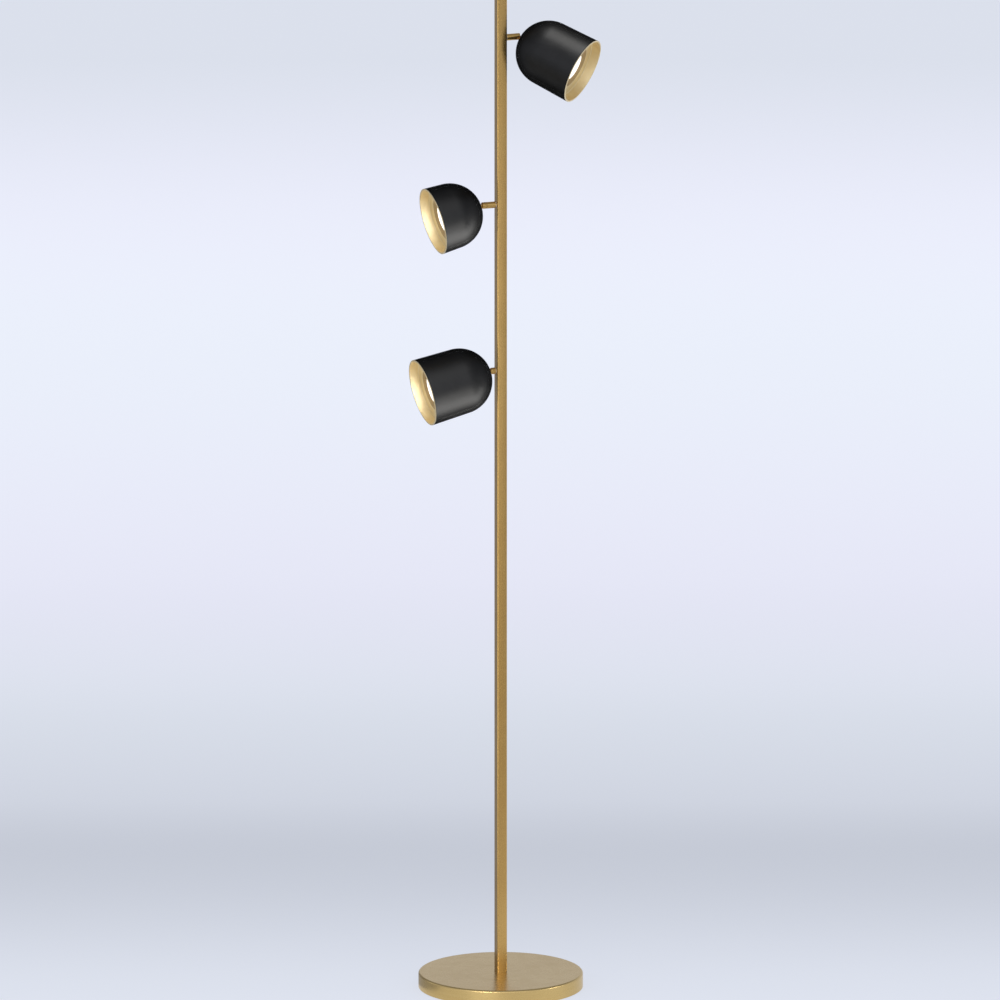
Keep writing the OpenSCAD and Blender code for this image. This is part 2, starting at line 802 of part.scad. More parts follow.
// Gold liner: lip over the shade's edge, wall, floor with a round hole, three bosses
module reflector(h) {
    gap = fixed_fit;
    outer = function(depth) inside_r(h, depth) - gap;
    color([0.86, 0.76, 0.55]) {
        rotate_extrude() {
            polygon([[outer(0) - liner_t, 0], [rim_r - lip_t/2, 0],
                     [rim_r - lip_t/2, lip_t], [outer(lip_t), lip_t],
                     [outer(floor_back), floor_back],
                     [floor_hole_d/2, floor_back], [floor_hole_d/2, recess],
                     [outer(recess) - liner_t, recess]]);
            translate([rim_r - lip_t/2, lip_t/2]) circle(lip_t/2);
        }
        at_bosses() translate([0, 0, floor_back - tiny]) difference() {
            cylinder(d = boss_d, h = boss_len + tiny);
            translate([0, 0, boss_floor])
                cylinder(d = module_screw_d + 2*fixed_fit, h = boss_len + cut);
        }
    }
}

module at_bosses() {
    for (i = [0:2]) rotate([0, 0, 120*i]) translate([boss_pcr, 0, 0]) children();
}

// Trim ring in the hole of the gold floor, with a ledge for the lens
module bezel(h) {
    face_r = floor_hole_d/2 - fixed_fit;
    flange_r = floor_hole_d/2 + bezel_flange;
    flange_back = floor_back + bezel_t;
    throat_r = throat_d/2;
    lens_r = throat_r + lens_ledge;
    back = max(lens_z + lens_t, flange_back + tiny);
    color([0.55, 0.47, 0.33]) rotate_extrude()
        polygon([[face_r, recess], [face_r, floor_back], [flange_r, floor_back],
                 [flange_r, flange_back], [lens_r + 2*bezel_t, flange_back],
                 [lens_r + 2*bezel_t, back],
                 [lens_r + fixed_fit, back], [lens_r + fixed_fit, lens_z],
                 [throat_r, lens_z], [throat_r, recess + ring_fall]]);
}

module lens(h) {
    color([0.97, 0.97, 0.95]) translate([0, 0, lens_z])
        cylinder(r = throat_d/2 + lens_ledge, h = lens_t);
}

module led_board(h) {
    color([0.9, 0.9, 0.88]) translate([0, 0, board_z]) difference() {
        cylinder(d = board_d, h = board_t);
        for (x = [-1, 1]) translate([x*board_d/3, 0, -cut])
            cylinder(d = wire_d + 2*fixed_fit, h = board_t + 2*cut);
    }
    color([0.95, 0.8, 0.3]) translate([0, 0, board_z - chip_t])
        cylinder(d = chip_d, h = chip_t);
}

// Cup that the module sits in, with ears for its screws and fins behind
module heat_sink(h) {
    cup_z = floor_back + bezel_t;
    plate_back = sink_z + sink_plate_t;
    color([0.78, 0.79, 0.8]) difference() {
        union() {
            translate([0, 0, sink_z]) cylinder(d = sink_d, h = sink_plate_t);
            translate([0, 0, cup_z]) ring(sink_d, sink_d - 2*sink_wall, sink_z - cup_z + tiny);
            at_bosses() translate([0, 0, floor_back + boss_len])
                cylinder(d = boss_d + 2*ear_wall, h = ear_t);
            for (i = [0:2]) rotate([0, 0, 120*i])
                translate([sink_d/2 - sink_wall + tiny, -boss_d/2, floor_back + boss_len])
                    cube([boss_pcr - sink_d/2 + sink_wall, boss_d, ear_t]);
            translate([0, 0, plate_back - tiny]) linear_extrude(fin_len + tiny)
                intersection() {
                    circle(d = sink_d);
                    union() {
                        circle(r = sink_bore/2 + sink_hub_t);
                        for (i = [0:fin_count - 1]) rotate(360*i/fin_count)
                            translate([0, -fin_t/2]) square([sink_d/2 + cut, fin_t]);
                    }
                }
        }
        translate([0, 0, sink_z - cut])
            cylinder(d = sink_bore, h = sink_plate_t + fin_len + 2*cut);
        at_bosses() translate([0, 0, floor_back + boss_len - cut])
            cylinder(d = module_screw_d + 2*fixed_fit, h = ear_t + 2*cut);
    }
}

module module_screws(h) {
    shank = boss_len - boss_floor - module_screw_gap + ear_t;
    color([0.6, 0.6, 0.62]) at_bosses()
        translate([0, 0, floor_back + boss_len + ear_t - shank]) {
            cylinder(d = module_screw_d, h = shank + tiny);
            translate([0, 0, shank]) difference() {
                cylinder(d = module_screw_head, h = module_screw_head_t);
                translate([0, 0, module_screw_head_t - socket_depth])
                    hexagon(hex_key, module_screw_head_t);
            }
        }
}

// Wire from the board, through the heat sink and out of the neck
module head_wire(h) {
    start_z = shoulder(h) + neck_wire_gap;
    end_z = neck_len(h) + head_len(h) - sink_z;
    color([0.85, 0.85, 0.83]) translate([0, 0, start_z])
        cylinder(d = wire_d, h = end_z - start_z);
}

base_cover();
base_weight();
base_plate();
base_pad();
base_screws();
cable_grommet();
terminal_block();
led_driver();
driver_screws();
pole();
pole_plug();
pole_nipple();
pole_clamp();
pole_cap();
swivel_inserts();
pole_wires();
for (h = HEADS) {
    n = head_name(h);
    on_dome(h) shade(h);
    on_rim(h) reflector(h);
    on_rim(h) bezel(h);
    on_rim(h) lens(h);
    on_rim(h) led_board(h);
    on_rim(h) heat_sink(h);
    on_rim(h) module_screws(h);
    on_pivot(h) neck(h);
    on_dome(h) neck_nut(h);
    on_pivot(h) head_wire(h);
    on_stem(h) stem(h);
    on_stem(h) swivel_washer(h);
    on_stem(h) pivot_screw(h);
}
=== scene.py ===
"""Looks of the floor lamp: a square brass pole on a round base, with three black dome spot heads.

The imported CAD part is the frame, and nothing in it is moved. Lengths are in metres, in the part's
own frame: +Z up, origin at the centre of the face on the floor, +X towards the upper head.
"""
import json
import math

import bmesh
import bpy
from mathutils import Matrix, Vector


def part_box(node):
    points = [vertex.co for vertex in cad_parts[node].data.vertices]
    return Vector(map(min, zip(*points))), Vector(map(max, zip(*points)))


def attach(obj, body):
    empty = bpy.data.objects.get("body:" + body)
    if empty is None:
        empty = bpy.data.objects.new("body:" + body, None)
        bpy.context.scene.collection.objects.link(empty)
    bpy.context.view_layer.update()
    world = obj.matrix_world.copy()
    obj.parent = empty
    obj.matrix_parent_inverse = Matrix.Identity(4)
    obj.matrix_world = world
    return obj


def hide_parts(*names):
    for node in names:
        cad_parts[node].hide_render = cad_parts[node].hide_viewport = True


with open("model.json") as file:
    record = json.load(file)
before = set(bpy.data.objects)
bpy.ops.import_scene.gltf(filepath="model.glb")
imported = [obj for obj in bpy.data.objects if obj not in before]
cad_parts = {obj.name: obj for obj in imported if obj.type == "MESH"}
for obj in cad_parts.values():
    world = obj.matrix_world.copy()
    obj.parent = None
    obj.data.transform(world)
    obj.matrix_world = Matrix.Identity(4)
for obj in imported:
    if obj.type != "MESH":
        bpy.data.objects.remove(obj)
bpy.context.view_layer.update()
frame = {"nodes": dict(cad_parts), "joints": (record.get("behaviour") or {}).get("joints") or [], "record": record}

NODES = frame["nodes"]
RECORD = frame["record"]
HEADS = ("upper", "middle", "lower")
MM = 0.001

# View of the photograph, found from the ellipse of the base and the two faces of the pole
AZIMUTH = math.radians(-20)
ELEVATION = math.radians(13.1)
CAMERA_DISTANCE = 50.0
SENSOR = 36.0
# Width that the picture shows at the lamp, and where the centre of the base's top face lies in it,
# as shares of its width from the left and from the top
METRES_ACROSS = 1.52
BASE_IN_PICTURE = (0.5007, 0.9712)

# Sizes of the turned and drawn pieces
DOME_R = 50 * MM
SHADE_WALL = 1.2 * MM
LIP = 1 * MM
LINER = 1 * MM
LINER_GAP = 0.1 * MM
LINER_FILLET = 1.5 * MM
RECESS = 15 * MM
FLOOR_HOLE_R = 33.5 * MM
THROAT_R = 21.5 * MM
RING_FALL = 1 * MM
RING_FLANGE = 3.5 * MM
RING_WALL = 1.2 * MM
LENS_LEDGE = 0.8 * MM
LENS_LEDGE_T = 0.6 * MM
LENS_T = 2 * MM
LENS_CROWN = 1.2 * MM
COVER_WALL = 1.5 * MM
COVER_EDGE_R = 3 * MM
COVER_HEM_R = 0.5 * MM
GROMMET_NECK_R = 5.25 * MM
POLE_WALL = 1.5 * MM
POLE_CORNER_R = 2 * MM
POLE_CROWN = 0.25 * MM
INSERT_R = 4.75 * MM
HOLE_FIT = 0.1 * MM

# Radii of the smallest roundings
FINE_R = 0.2 * MM
SOFT_R = 0.25 * MM
SHADE_EDGE_R = 0.35 * MM
LINER_MOUTH_R = 0.4 * MM
LINER_BACK_R = 0.6 * MM

# The two turned grooves of the trim ring: distance from its outer edge and from the throat, half
# width, depth, and the radii at the top and at the bottom
GROOVE_FROM_EDGE = 2 * MM
GROOVE_FROM_THROAT = 2.2 * MM
GROOVE_HALF = 0.5 * MM
GROOVE_DEPTH = 0.3 * MM
GROOVE_TOP_R = 0.08 * MM
GROOVE_BOTTOM_R = 0.12 * MM

# Steps of the meshes, and what counts as on the axis, sharp, flat or the same point
SPIN_STEPS = 144
BASE_STEPS = 256
GROMMET_STEPS = 64
INSERT_STEPS = 48
DOME_STEPS = 40
LIP_STEPS = 10
LENS_STEPS = 12
ARC_STEPS = 6
FLAT_SHARES = (-0.6, -0.4, -0.2, 0, 0.2, 0.4, 0.6)
ON_AXIS = 1e-7
SHARP = math.radians(28)
FLAT = math.radians(0.3)
MERGE = 0.002 * MM


def linear(red, green, blue):
    """Colour written as 0 to 255 display values, as scene-linear numbers."""
    def channel(value):
        value /= 255
        return value / 12.92 if value <= 0.04045 else ((value + 0.055) / 1.055) ** 2.4
    return (channel(red), channel(green), channel(blue), 1.0)


def link_object(name, data, matrix=None):
    made = bpy.data.objects.new(name, data)
    if matrix is not None:
        made.matrix_world = matrix
    bpy.context.scene.collection.objects.link(made)
    return made


# Camera

def camera_axes():
    """Right, up and backward directions of the photograph's view."""
    back = Vector((math.sin(AZIMUTH) * math.cos(ELEVATION),
                   -math.cos(AZIMUTH) * math.cos(ELEVATION),
                   math.sin(ELEVATION)))
    right = Vector((math.cos(AZIMUTH), math.sin(AZIMUTH), 0))
    return right, back.cross(right), back


def make_camera():
    right, up, back = camera_axes()
    base_top = Vector((0, 0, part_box("base_cover")[1].z))
    centre = (base_top
              + right * (0.5 - BASE_IN_PICTURE[0]) * METRES_ACROSS
              + up * (BASE_IN_PICTURE[1] - 0.5) * METRES_ACROSS)
    data = bpy.data.cameras.new("camera")
    data.sensor_width = SENSOR
    data.lens = SENSOR * CAMERA_DISTANCE / METRES_ACROSS
    data.clip_end = 2 * CAMERA_DISTANCE
    turn = Matrix((right, up, back)).transposed().to_4x4()
    camera = link_object("camera", data, Matrix.Translation(centre + back * CAMERA_DISTANCE) @ turn)
    bpy.context.scene.camera = camera


# Materials: every one is procedural, and reads the piece's own coordinates

class Finish:
    """A material with one Principled shader, and short calls for the nodes that feed it."""

    def __init__(self, name, colour, roughness, metallic=0.0, **plain):
        self.material = bpy.data.materials.new(name)
        self.material.use_nodes = True
        self.tree = self.material.node_tree
        self.shader = self.tree.nodes["Principled BSDF"]
        self.shader.inputs["Base Color"].default_value = (*colour, 1)
        self.shader.inputs["Roughness"].default_value = roughness
        self.shader.inputs["Metallic"].default_value = metallic
        for socket, value in plain.items():
            self.shader.inputs[socket.replace("_", " ")].default_value = value
        self.place = self.node("ShaderNodeTexCoord").outputs["Object"]

    def node(self, kind, inputs=None, **settings):
        made = self.tree.nodes.new(kind)
        for name, value in settings.items():
            setattr(made, name, value)
        for key, value in (inputs or {}).items():
            if isinstance(value, bpy.types.NodeSocket):
                self.tree.links.new(value, made.inputs[key])
            else:
                made.inputs[key].default_value = value
        return made

    def math(self, operation, first, second=0.0):
        return self.node("ShaderNodeMath", {0: first, 1: second}, operation=operation).outputs[0]

    def stretched(self, x, y, z):
        """The piece's coordinates in metres, times a number along each axis."""
        return self.node("ShaderNodeVectorMath", {0: self.place, 1: (x, y, z)},
                         operation="MULTIPLY").outputs[0]

    def noise(self, where, scale=1.0, detail=3.0, roughness=0.5):
        return self.node("ShaderNodeTexNoise",
                         {"Vector": where, "Scale": scale, "Detail": detail,
                          "Roughness": roughness}).outputs[0]

    def radius(self):
        """Distance from the piece's own Z axis, in metres."""
        flat = self.stretched(1, 1, 0)
        return self.node("ShaderNodeVectorMath", {0: flat}, operation="LENGTH").outputs["Value"]

    def spun(self, scale, drift=30.0):
        """Noise that runs round the Z axis, as a spinning tool leaves it."""
        part = self.node("ShaderNodeSeparateXYZ", {0: self.place})
        around = self.node("ShaderNodeCombineXYZ",
                           {0: self.math("MULTIPLY", self.radius(), scale),
                            1: self.math("MULTIPLY", part.outputs["Z"], scale),
                            2: self.math("MULTIPLY", part.outputs["X"], drift)})
        return self.noise(around.outputs[0], detail=2.0)

    def between(self, value, low, high, start=0.3, stop=0.7):
        """The value's range from start to stop, spread over low to high."""
        return self.node("ShaderNodeMapRange",
                         {"Value": value, "From Min": start, "From Max": stop,
                          "To Min": low, "To Max": high}).outputs[0]

    def tones(self, value, *colours):
        """Colour that goes evenly through the given ones as the value goes from 0 to 1."""
        ramp = self.node("ShaderNodeValToRGB", {0: value})
        elements = ramp.color_ramp.elements
        for index, colour in enumerate(colours):
            at = index / (len(colours) - 1)
            element = elements[0] if index == 0 else elements[-1] if at == 1 else elements.new(at)
            element.color = (*colour, 1)
        return ramp.outputs[0]

    def feed(self, **sockets):
        for name, value in sockets.items():
            self.tree.links.new(value, self.shader.inputs[name.replace("_", " ")])

    def relief(self, height, depth):
        """Bump of the given depth, in metres."""
        bump = self.node("ShaderNodeBump", {"Height": height, "Distance": depth, "Strength": 1.0})
        self.feed(Normal=bump.outputs[0])


# Deep, middle and pale tone of the brass of the pole, and of the base, which is painted a little paler
# to stand in for the pale reflections on its side, and the base's tint at a glancing view
BRASS = ((0.615, 0.370, 0.098), (0.640, 0.395, 0.112), (0.660, 0.415, 0.124))
BASE_BRASS = ((0.620, 0.438, 0.172), (0.645, 0.463, 0.188), (0.665, 0.483, 0.202))
BASE_BRASS_EDGE = (1, 0.98, 0.93, 1)
# Brush marks: noise cells in a metre, across the marks and along them, how much wider the coarse
# marks are, and the fine and the coarse marks that run round an axis
BRUSH_ACROSS, BRUSH_ALONG, BRUSH_COARSER = 3200, 14, 6
SPUN_FINE, SPUN_COARSE = 2600, 420
# Share of the clouds in the tone of brass. The coarse marks have the rest
CLOUD_SHARE = 0.62


def brass(name, grain, colours, satin, lacquer, edge=(1, 1, 1, 1)):
    """Lacquered satin brass, brushed along an axis ("x" or "z") or round one ("spun")."""
    finish = Finish(name, colours[1], satin, metallic=1.0, Coat_Weight=lacquer, Coat_Roughness=0.22,
                    Specular_Tint=edge)
    if grain == "spun":
        lines = finish.spun(SPUN_FINE)
        long_lines = finish.spun(SPUN_COARSE)
    else:
        scale = [BRUSH_ALONG if axis == grain else BRUSH_ACROSS for axis in "xyz"]
        lines = finish.noise(finish.stretched(*scale), detail=2.0)
        coarse = [part / BRUSH_COARSER for part in scale]
        long_lines = finish.noise(finish.stretched(*coarse), detail=2.0)
    clouds = finish.noise(finish.place, scale=9.0, detail=4.0)
    prints = finish.noise(finish.place, scale=38.0, detail=5.0, roughness=0.62)
    tone = finish.math("ADD", finish.math("MULTIPLY", clouds, CLOUD_SHARE),
                       finish.math("MULTIPLY", long_lines, 1 - CLOUD_SHARE))
    spread = finish.between(tone, 0, 1, start=0.36, stop=0.64)
    finish.feed(Base_Color=finish.tones(spread, *colours))
    gloss = finish.between(lines, satin - 0.02, satin + 0.02)
    smears = finish.between(prints, -0.02, 0.03, start=0.42, stop=0.7)
    finish.feed(Roughness=finish.math("ADD", gloss, smears))
    finish.relief(lines, 0.0006 * MM)
    return finish.material


def black():
    """Satin black powder coat with a fine orange peel, which stays dark at a glancing view."""
    finish = Finish("black_satin", (0.031, 0.031, 0.0303), 0.42, metallic=1.0,
                    Specular_Tint=(0.22, 0.22, 0.22, 1))
    peel = finish.noise(finish.place, scale=950.0, detail=2.0, roughness=0.45)
    dust = finish.noise(finish.place, scale=60.0, detail=4.0, roughness=0.6)
    finish.feed(Base_Color=finish.tones(finish.between(dust, 0, 1),
                                        (0.0292, 0.0289, 0.0281), (0.0335, 0.0331, 0.0322)))
    finish.feed(Roughness=finish.between(dust, 0.39, 0.45))
    finish.relief(peel, 0.02 * MM)
    return finish.material


def gold(name, deep, middle, pale, roughness):
    """Anodised gold, with the fine rings that turning leaves."""
    finish = Finish(name, middle, roughness, metallic=1.0)
    rings = finish.spun(3000, drift=12.0)
    clouds = finish.noise(finish.place, scale=45.0)
    finish.feed(Base_Color=finish.tones(finish.between(clouds, 0, 1), deep, middle, pale))
    finish.feed(Roughness=finish.between(rings, roughness - 0.04, roughness + 0.04))
    finish.relief(rings, 0.0015 * MM)
    return finish.material


def opal():
    """Opal plastic that is lit from behind, brightest in the middle."""
    middle_glow, edge_glow = 1.25, 0.95
    finish = Finish("opal_lens", linear(248, 248, 244)[:3], 0.38)
    shine = finish.between(finish.radius(), middle_glow, edge_glow, start=0, stop=THROAT_R)
    grain = finish.noise(finish.place, scale=900.0, detail=2.0)
    finish.shader.inputs["Emission Color"].default_value = linear(255, 252, 244)
    finish.feed(Emission_Strength=finish.math("MULTIPLY", shine, finish.between(grain, 0.99, 1.01)))
    finish.feed(Roughness=finish.between(grain, 0.34, 0.42))
    finish.relief(grain, 0.004 * MM)
    return finish.material


def plastic(name, pale, dark, roughness, grain=1600.0, metallic=0.0, depth=0.006):
    """Moulded, cast or plated material: two close tones, an uneven gloss and a fine texture.
    The grain is in noise cells to a metre, and its depth in millimetres."""
    finish = Finish(name, pale, roughness, metallic=metallic)
    clouds = finish.noise(finish.place, scale=grain / 30, detail=4.0)
    fine = finish.noise(finish.place, scale=grain, roughness=0.6)
    finish.feed(Base_Color=finish.tones(finish.between(clouds, 0, 1), dark, pale))
    finish.feed(Roughness=finish.between(fine, roughness - 0.05, roughness + 0.05))
    finish.relief(fine, depth * MM)
    return finish.material


# The material of each slot of the record. Brass has one for each way it is brushed, and the base's is also painted
# paler
MATERIALS = {
    "brass_long": brass("brass_long", "z", BRASS, satin=0.27, lacquer=0.8),
    "brass_turned": brass("brass_turned", "x", BRASS, satin=0.34, lacquer=0.5),
    # Painted paler than the pole's brass: the paler tone stands in for the pale reflections on the base's side
    "brass_spun": brass("brass_spun", "spun", BASE_BRASS, satin=0.29, lacquer=0.1,
                        edge=BASE_BRASS_EDGE),
    "black_satin": black(),
    "gold_liner": gold("gold_liner", (0.86, 0.71, 0.42), (0.90, 0.76, 0.47), (0.93, 0.80, 0.52),
                       roughness=0.48),
    # The trim ring's darker gold is painted shade: it stands in for the shade deep in the recess behind the floor
    "gold_funnel": gold("gold_funnel", (0.42, 0.29, 0.13), (0.49, 0.35, 0.17), (0.56, 0.42, 0.22),
                        roughness=0.30),
    "opal_lens": opal(),
    "board_white": plastic("board_white", (0.80, 0.80, 0.78), (0.74, 0.74, 0.71), 0.35, grain=1200),
    "sink_aluminium": plastic("sink_aluminium", (0.70, 0.71, 0.72), (0.60, 0.61, 0.62), 0.42,
                              grain=900, metallic=1.0, depth=0.03),
    "fastener_steel": plastic("fastener_steel", (0.62, 0.62, 0.64), (0.50, 0.50, 0.53), 0.30,
                              grain=1400, metallic=1.0),
    "nylon": plastic("nylon", (0.78, 0.77, 0.72), (0.72, 0.71, 0.66), 0.45),
    "cast_iron": plastic("cast_iron", (0.10, 0.10, 0.105), (0.05, 0.05, 0.053), 0.72,
                         grain=500, metallic=0.6, depth=0.12),
    "plate_steel": plastic("plate_steel", (0.50, 0.50, 0.52), (0.40, 0.40, 0.42), 0.34,
                           grain=700, metallic=1.0),
    "pad_rubber": plastic("pad_rubber", (0.030, 0.030, 0.032), (0.018, 0.018, 0.020), 0.85,
                          grain=900, depth=0.05),
    "grommet_rubber": plastic("grommet_rubber", (0.014, 0.014, 0.014), (0.009, 0.009, 0.009), 0.6),
    "terminal_plastic": plastic("terminal_plastic", (0.72, 0.72, 0.66), (0.66, 0.66, 0.60), 0.4),
    "driver_plastic": plastic("driver_plastic", (0.80, 0.80, 0.77), (0.74, 0.74, 0.71), 0.45),
    "wire_sleeve": plastic("wire_sleeve", (0.64, 0.64, 0.61), (0.58, 0.58, 0.55), 0.38),
}
BRASS_GRAIN = {"pole": "brass_long", "pole_cap": "brass_long", "base_cover": "brass_spun"}
SLOT_OF = {row["node"]: row["material_slot"] for row in RECORD["subparts"]}
BODY_OF = {node: body for body, nodes in RECORD["behaviour"]["bodies"].items() for node in nodes}


def material_of(node):
    slot = SLOT_OF[node]
    if slot == "brass_satin":
        return MATERIALS[BRASS_GRAIN.get(node, "brass_turned")]
    return MATERIALS[slot]


# Meshes

def rounded(corners, closed=True):
    """Points of an outline. A corner is (x, y), or (x, y, radius) where an arc rounds it."""
    points = []
    for index, corner in enumerate(corners):
        here = Vector(corner[:2])
        radius = corner[2] if len(corner) > 2 else 0
        if not radius or not (closed or 0 < index < len(corners) - 1):
            points.append(here)
            continue
        before = (Vector(corners[index - 1][:2]) - here).normalized()
        after = (Vector(corners[(index + 1) % len(corners)][:2]) - here).normalized()
        half = before.angle(after) / 2
        centre = here + (before + after).normalized() * radius / math.sin(half)
        start = (here + before * radius / math.tan(half) - centre).normalized()
        end = (here + after * radius / math.tan(half) - centre).normalized()
        points += [centre + start.slerp(end, step / ARC_STEPS) * radius
                   for step in range(ARC_STEPS + 1)]
    return points


def arc(centre, radius, start, stop, steps):
    """Points on an arc from one angle to another, in degrees from the first axis."""
    angles = [math.radians(start + (stop - start) * step / steps) for step in range(steps + 1)]
    return [Vector((centre[0] + radius * math.cos(angle), centre[1] + radius * math.sin(angle)))
            for angle in angles]


def smooth(mesh):
    mesh.shade_smooth()
    mesh.set_sharp_from_angle(angle=SHARP)


def joined(name, faces_of):
    """Mesh that faces_of(shape) fills, with smooth faces and sharp creases."""
    shape = bmesh.new()
    faces_of(shape)
    bmesh.ops.recalc_face_normals(shape, faces=shape.faces)
    mesh = bpy.data.meshes.new(name)
    shape.to_mesh(mesh)
    shape.free()
    smooth(mesh)
    return mesh


def bridge(shape, rings, closed):
    """Faces between rings of vertices, where a ring of one vertex is a pole."""
    following = rings[1:] + rings[:1] if closed else rings[1:]
    for low, high in zip(rings, following):
        steps = max(len(low), len(high))
        for i in range(steps):
            j = i + 1
            corners = [low[i % len(low)], low[j % len(low)],
                       high[j % len(high)], high[i % len(high)]]
            corners = list(dict.fromkeys(corners))
            if len(corners) > 2:
                shape.faces.new(corners)


def lathe(name, profile, closed=True, steps=SPIN_STEPS):
    """Solid that a profile of (radius, height) points sweeps round Z."""
    def fill(shape):
        rings = []
        for radius, height in profile:
            if radius < ON_AXIS:
                rings.append([shape.verts.new((0, 0, height))])
                continue
            angles = [math.tau * step / steps for step in range(steps)]
            rings.append([
                shape.verts.new((radius * math.cos(angle), radius * math.sin(angle), height))
                for angle in angles])
        bridge(shape, rings, closed)
    return joined(name, fill)


def prism(name, outline, low, high):
    """Solid between two levels over an outline of (x, y) points."""
    def fill(shape):
        rings = [[shape.verts.new((x, y, level)) for x, y in outline] for level in (low, high)]
        bridge(shape, rings, False)
        for ring in rings:
            shape.faces.new(ring)
    return joined(name, fill)


def cut_away(piece, *tools):
    """Takes the tools out of the piece, and deletes them."""
    for tool in tools:
        cut = piece.modifiers.new("cut", "BOOLEAN")
        cut.solver = "EXACT"
        cut.object = tool
    bpy.context.view_layer.update()
    cut_mesh = bpy.data.meshes.new_from_object(
        piece.evaluated_get(bpy.context.evaluated_depsgraph_get()))
    piece.modifiers.clear()
    piece.data = cut_mesh
    smooth(cut_mesh)
    for tool in tools:
        bpy.data.objects.remove(tool)


def stand_for(node, piece):
    """The piece takes the node's place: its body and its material."""
    piece.data.materials.clear()
    piece.data.materials.append(material_of(node))
    even = piece.modifiers.new("normals", "WEIGHTED_NORMAL")
    even.keep_sharp = True
    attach(piece, BODY_OF[node])
    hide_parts(node)


def eased(node, width):
    """A copy of the node's solid, with its sharp edges broken, takes the node's place."""
    shape = bmesh.new()
    shape.from_mesh(NODES[node].data)
    bmesh.ops.remove_doubles(shape, verts=shape.verts, dist=MERGE)
    bmesh.ops.dissolve_limit(shape, angle_limit=FLAT, verts=shape.verts, edges=shape.edges)
    mesh = bpy.data.meshes.new(f"{node}_eased")
    shape.to_mesh(mesh)
    shape.free()
    smooth(mesh)
    piece = link_object(f"{node}_eased", mesh)
    edge = piece.modifiers.new("edge", "BEVEL")
    edge.limit_method = "ANGLE"
    edge.angle_limit = SHARP
    edge.width = width
    edge.segments = 2
    edge.use_clamp_overlap = True
    stand_for(node, piece)


# Frames of the heads

class Head:
    """A head's frame: origin at the centre of the rim, +Z into the head, and its length."""

    def __init__(self, name):
        self.name = name
        joints = {joint["name"]: joint for joint in frame["joints"]}
        swivel, tilt = joints[f"{name}_swivel"], joints[f"{name}_tilt"]
        out, across = Vector(swivel["axis"]), Vector(tilt["axis"])
        # The tilt's range lies evenly round straight out, so its middle gives the angle at rest
        rest = -math.radians(sum(tilt["range_deg"]) / 2)
        axis = (Matrix.Rotation(rest, 3, across) @ out).normalized()
        pivot = Vector(tilt["pos_m"])
        to_rim = self.reach("reflector", pivot, axis, max)
        to_hole = self.reach("shade", pivot, axis, min)
        self.hole_r = self.off_axis("shade", pivot, axis, min)
        self.rim_r = self.off_axis("reflector", pivot, axis, max)
        self.length = to_rim - to_hole + DOME_R - math.sqrt(DOME_R ** 2 - self.hole_r ** 2)
        inward = -axis
        self.matrix = Matrix.Translation(pivot + axis * to_rim) @ Matrix(
            (across, inward.cross(across), inward)).transposed().to_4x4()
        run = self.length - DOME_R
        # Half angle of the flared wall, which leaves the dome at a tangent
        self.flare = (math.acos(DOME_R / math.hypot(self.rim_r, run))
                      - math.atan2(run, self.rim_r))

    def points(self, part):
        return [vertex.co for vertex in NODES[f"{self.name}_{part}"].data.vertices]

    def reach(self, part, pivot, axis, pick):
        """The least or the greatest distance of the part's points along the axis."""
        return pick((point - pivot).dot(axis) for point in self.points(part))

    def off_axis(self, part, pivot, axis, pick):
        """The least or the greatest distance of the part's points from the axis."""
        return pick((point - pivot - axis * (point - pivot).dot(axis)).length
                    for point in self.points(part))

    def wall_r(self, depth):
        """Outer radius of the flared wall at a depth behind the rim."""
        return self.rim_r - depth * math.tan(self.flare)

    def liner_r(self, depth):
        """Outer radius of the liner, inside the shade's wall."""
        return self.wall_r(depth) - SHADE_WALL / math.cos(self.flare) - LINER_GAP


# Pieces of a head

def shade_shell(head):
    """Spun dome that runs on into a flared wall, with a turned edge behind the gold lip."""
    def skin(inset):
        radius = DOME_R - inset
        start = math.degrees(math.asin(head.hole_r / radius))
        stop = 90 - math.degrees(head.flare)
        return [Vector((point.y, head.length - DOME_R + point.x))
                for point in arc((0, 0), radius, start, stop, DOME_STEPS)]
    edge_r = head.wall_r(LIP)
    inner_r = edge_r - SHADE_WALL / math.cos(head.flare)
    edge = rounded([(edge_r - LIP * math.sin(head.flare), 2 * LIP), (edge_r, LIP, SHADE_EDGE_R),
                    (inner_r, LIP, FINE_R), (inner_r, 2 * LIP)], closed=False)
    profile = skin(0) + edge[1:-1] + skin(SHADE_WALL)[::-1]
    mesh = lathe(f"{head.name}_shade_shell", profile)
    stand_for(f"{head.name}_shade", link_object(f"{head.name}_shade_shell", mesh, head.matrix))


def liner(head):
    """Gold liner: round lip, flared wall, and a floor with a round hole."""
    lip_r = LIP / 2
    back = RECESS + LINER
    lip = arc((head.rim_r - lip_r, lip_r), lip_r, -90, 90, LIP_STEPS)
    inner = [(head.liner_r(depth) - LINER, depth) for depth in (RECESS, 0)]
    profile = rounded([(*inner[0], LINER_FILLET), (*inner[1], LINER_MOUTH_R)]
                      + [tuple(point) for point in lip]
                      + [(head.liner_r(LIP), LIP), (head.liner_r(back), back, LINER_BACK_R),
                         (FLOOR_HOLE_R, back, FINE_R), (FLOOR_HOLE_R, RECESS, SOFT_R)])
    mesh = lathe(f"{head.name}_liner", profile)
    piece = link_object(f"{head.name}_liner", mesh, head.matrix)
    stand_for(f"{head.name}_reflector", piece)


